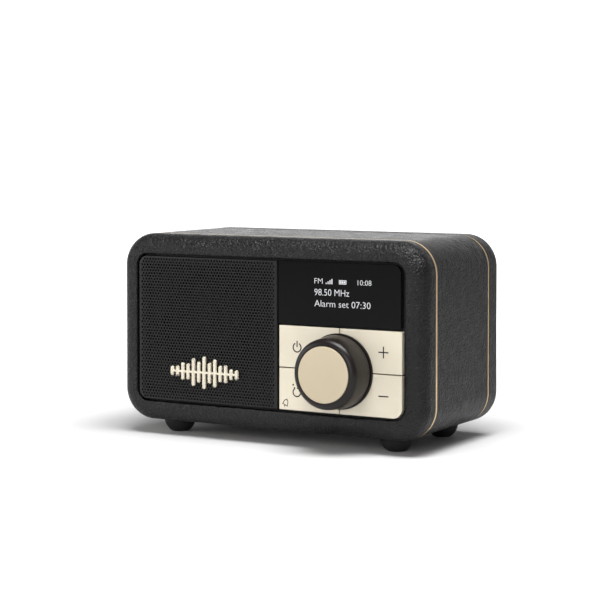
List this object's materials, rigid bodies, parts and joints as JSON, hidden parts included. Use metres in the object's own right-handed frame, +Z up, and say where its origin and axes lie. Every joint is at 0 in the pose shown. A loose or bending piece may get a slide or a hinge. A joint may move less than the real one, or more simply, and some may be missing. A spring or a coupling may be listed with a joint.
{
  "type": "tabletop radio",
  "caption": "Compact tabletop radio: leatherette case with metal piping, perforated speaker grille, display, push buttons round a rotary knob, rubber feet, folding telescopic aerial.",
  "frame": {"origin": "on the table under the middle of the whole outline, knob and aerial included", "axes": "+X to the user's right seen from the front, +Y from the front to the rear, +Z up"},
  "size_m": [0.15, 0.096, 0.0885],
  "materials": {
    "leatherette": "fine pebble grain, satin",
    "cabinet_board": "bare fibreboard",
    "piping_metal": "champagne anodised, satin",
    "foot_rubber": "matte",
    "screw_steel": "zinc plated",
    "screw_black": "black zinc",
    "black_plastic": "matte",
    "gloss_black": "gloss",
    "grille_metal": "graphite, satin",
    "ivory": "satin",
    "switch_plastic": "matte",
    "board_green": "solder mask",
    "part_steel": "plain",
    "knob_black": "high gloss",
    "disc_metal": "fine brushed, champagne",
    "basket_steel": "black coated",
    "magnet_ferrite": "ceramic, matte",
    "cone_fibre": "matte",
    "surround_rubber": "matte",
    "copper": "enamelled wire",
    "radiator_weight": "matte",
    "cell_wrap": "shrink wrap",
    "flex_film": "satin",
    "lead_sheath": "satin",
    "aerial_chrome": "polished"
  },
  "bodies": {
    "cabinet": {"cabinet_shell": "cabinet_board", "cabinet_wrap": "leatherette", "front_frame": "leatherette", "rear_frame": "leatherette", "front_piping": "piping_metal", "rear_piping": "piping_metal", "foot_front_left": "foot_rubber", "foot_front_right": "foot_rubber", "foot_rear_left": "foot_rubber", "foot_rear_right": "foot_rubber", "foot_screws": "screw_steel", "front_panel": "black_plastic", "front_panel_screws": "screw_steel", "speaker_grille": "grille_metal", "emblem": "ivory", "display_window": "gloss_black", "display_module": "black_plastic", "tact_switches": "switch_plastic", "front_board": "board_green", "board_screws": "screw_steel", "encoder_body": "part_steel", "encoder_nut": "part_steel", "knob_collar": "knob_black", "speaker_basket": "basket_steel", "speaker_magnet": "magnet_ferrite", "speaker_surround": "surround_rubber", "speaker_screws": "screw_steel", "rear_panel": "black_plastic", "rear_panel_screws": "screw_black", "rear_gasket": "surround_rubber", "radiator_surround": "surround_rubber", "usb_socket": "part_steel", "headphone_socket": "black_plastic", "main_board": "board_green", "battery_cell": "cell_wrap", "battery_bracket": "black_plastic", "flex_cable": "flex_film", "speaker_lead": "lead_sheath", "aerial_socket": "black_plastic"},
    "power_button": {"button_power": "ivory", "plunger_power": "switch_plastic"},
    "alarm_button": {"button_alarm": "ivory", "plunger_alarm": "switch_plastic"},
    "plus_button": {"button_plus": "ivory", "plunger_plus": "switch_plastic"},
    "minus_button": {"button_minus": "ivory", "plunger_minus": "switch_plastic"},
    "encoder_rotor": {"encoder_rotor": "switch_plastic"},
    "knob": {"knob_body": "knob_black", "knob_face": "disc_metal", "encoder_shaft": "part_steel"},
    "speaker_cone": {"speaker_cone": "cone_fibre", "speaker_dust_cap": "cone_fibre", "voice_coil": "copper"},
    "radiator": {"radiator_plate": "radiator_weight"},
    "aerial_swivel": {"aerial_base": "aerial_chrome", "aerial_pin": "part_steel"},
    "aerial_lower": {"aerial_tube_1": "aerial_chrome"},
    "aerial_middle": {"aerial_tube_2": "aerial_chrome"},
    "aerial_tip": {"aerial_rod": "aerial_chrome"}
  },
  "joints": [
    {"name": "power_press", "type": "slide", "parent": "cabinet", "child": "power_button", "axis": [0, 1, 0], "range_m": [0, 0.0006], "stiffness_N_per_m": 1500, "springref_m": -0.0006},
    {"name": "alarm_press", "type": "slide", "parent": "cabinet", "child": "alarm_button", "axis": [0, 1, 0], "range_m": [0, 0.0006], "stiffness_N_per_m": 1500, "springref_m": -0.0006},
    {"name": "plus_press", "type": "slide", "parent": "cabinet", "child": "plus_button", "axis": [0, 1, 0], "range_m": [0, 0.0006], "stiffness_N_per_m": 1500, "springref_m": -0.0006},
    {"name": "minus_press", "type": "slide", "parent": "cabinet", "child": "minus_button", "axis": [0, 1, 0], "range_m": [0, 0.0006], "stiffness_N_per_m": 1500, "springref_m": -0.0006},
    {"name": "knob_turn", "type": "hinge", "parent": "cabinet", "child": "encoder_rotor", "pos_m": [0.03565, -0.0342, 0.03375], "axis": [0, -1, 0], "continuous": true},
    {"name": "knob_press", "type": "slide", "parent": "encoder_rotor", "child": "knob", "axis": [0, 1, 0], "range_m": [0, 0.0007], "stiffness_N_per_m": 2500, "springref_m": -0.0006},
    {"name": "cone_travel", "type": "slide", "parent": "cabinet", "child": "speaker_cone", "axis": [0, 1, 0], "range_m": [-0.001, 0.001], "stiffness_N_per_m": 1500},
    {"name": "radiator_travel", "type": "slide", "parent": "cabinet", "child": "radiator", "axis": [0, 1, 0], "range_m": [-0.0012, 0.0012], "stiffness_N_per_m": 1500},
    {"name": "aerial_turn", "type": "hinge", "parent": "cabinet", "child": "aerial_swivel", "pos_m": [0.051, 0.0404, 0.068], "axis": [0, 1, 0], "range_deg": [0, 180]},
    {"name": "aerial_tilt", "type": "hinge", "parent": "aerial_swivel", "child": "aerial_lower", "pos_m": [0.051, 0.0453, 0.068], "axis": [0, 0, -1], "range_deg": [0, 180]},
    {"name": "aerial_extend_lower", "type": "slide", "parent": "aerial_lower", "child": "aerial_middle", "axis": [-1, 0, 0], "range_m": [0, 0.08]},
    {"name": "aerial_extend_upper", "type": "slide", "parent": "aerial_middle", "child": "aerial_tip", "axis": [-1, 0, 0], "range_m": [0, 0.075]}
  ]
}
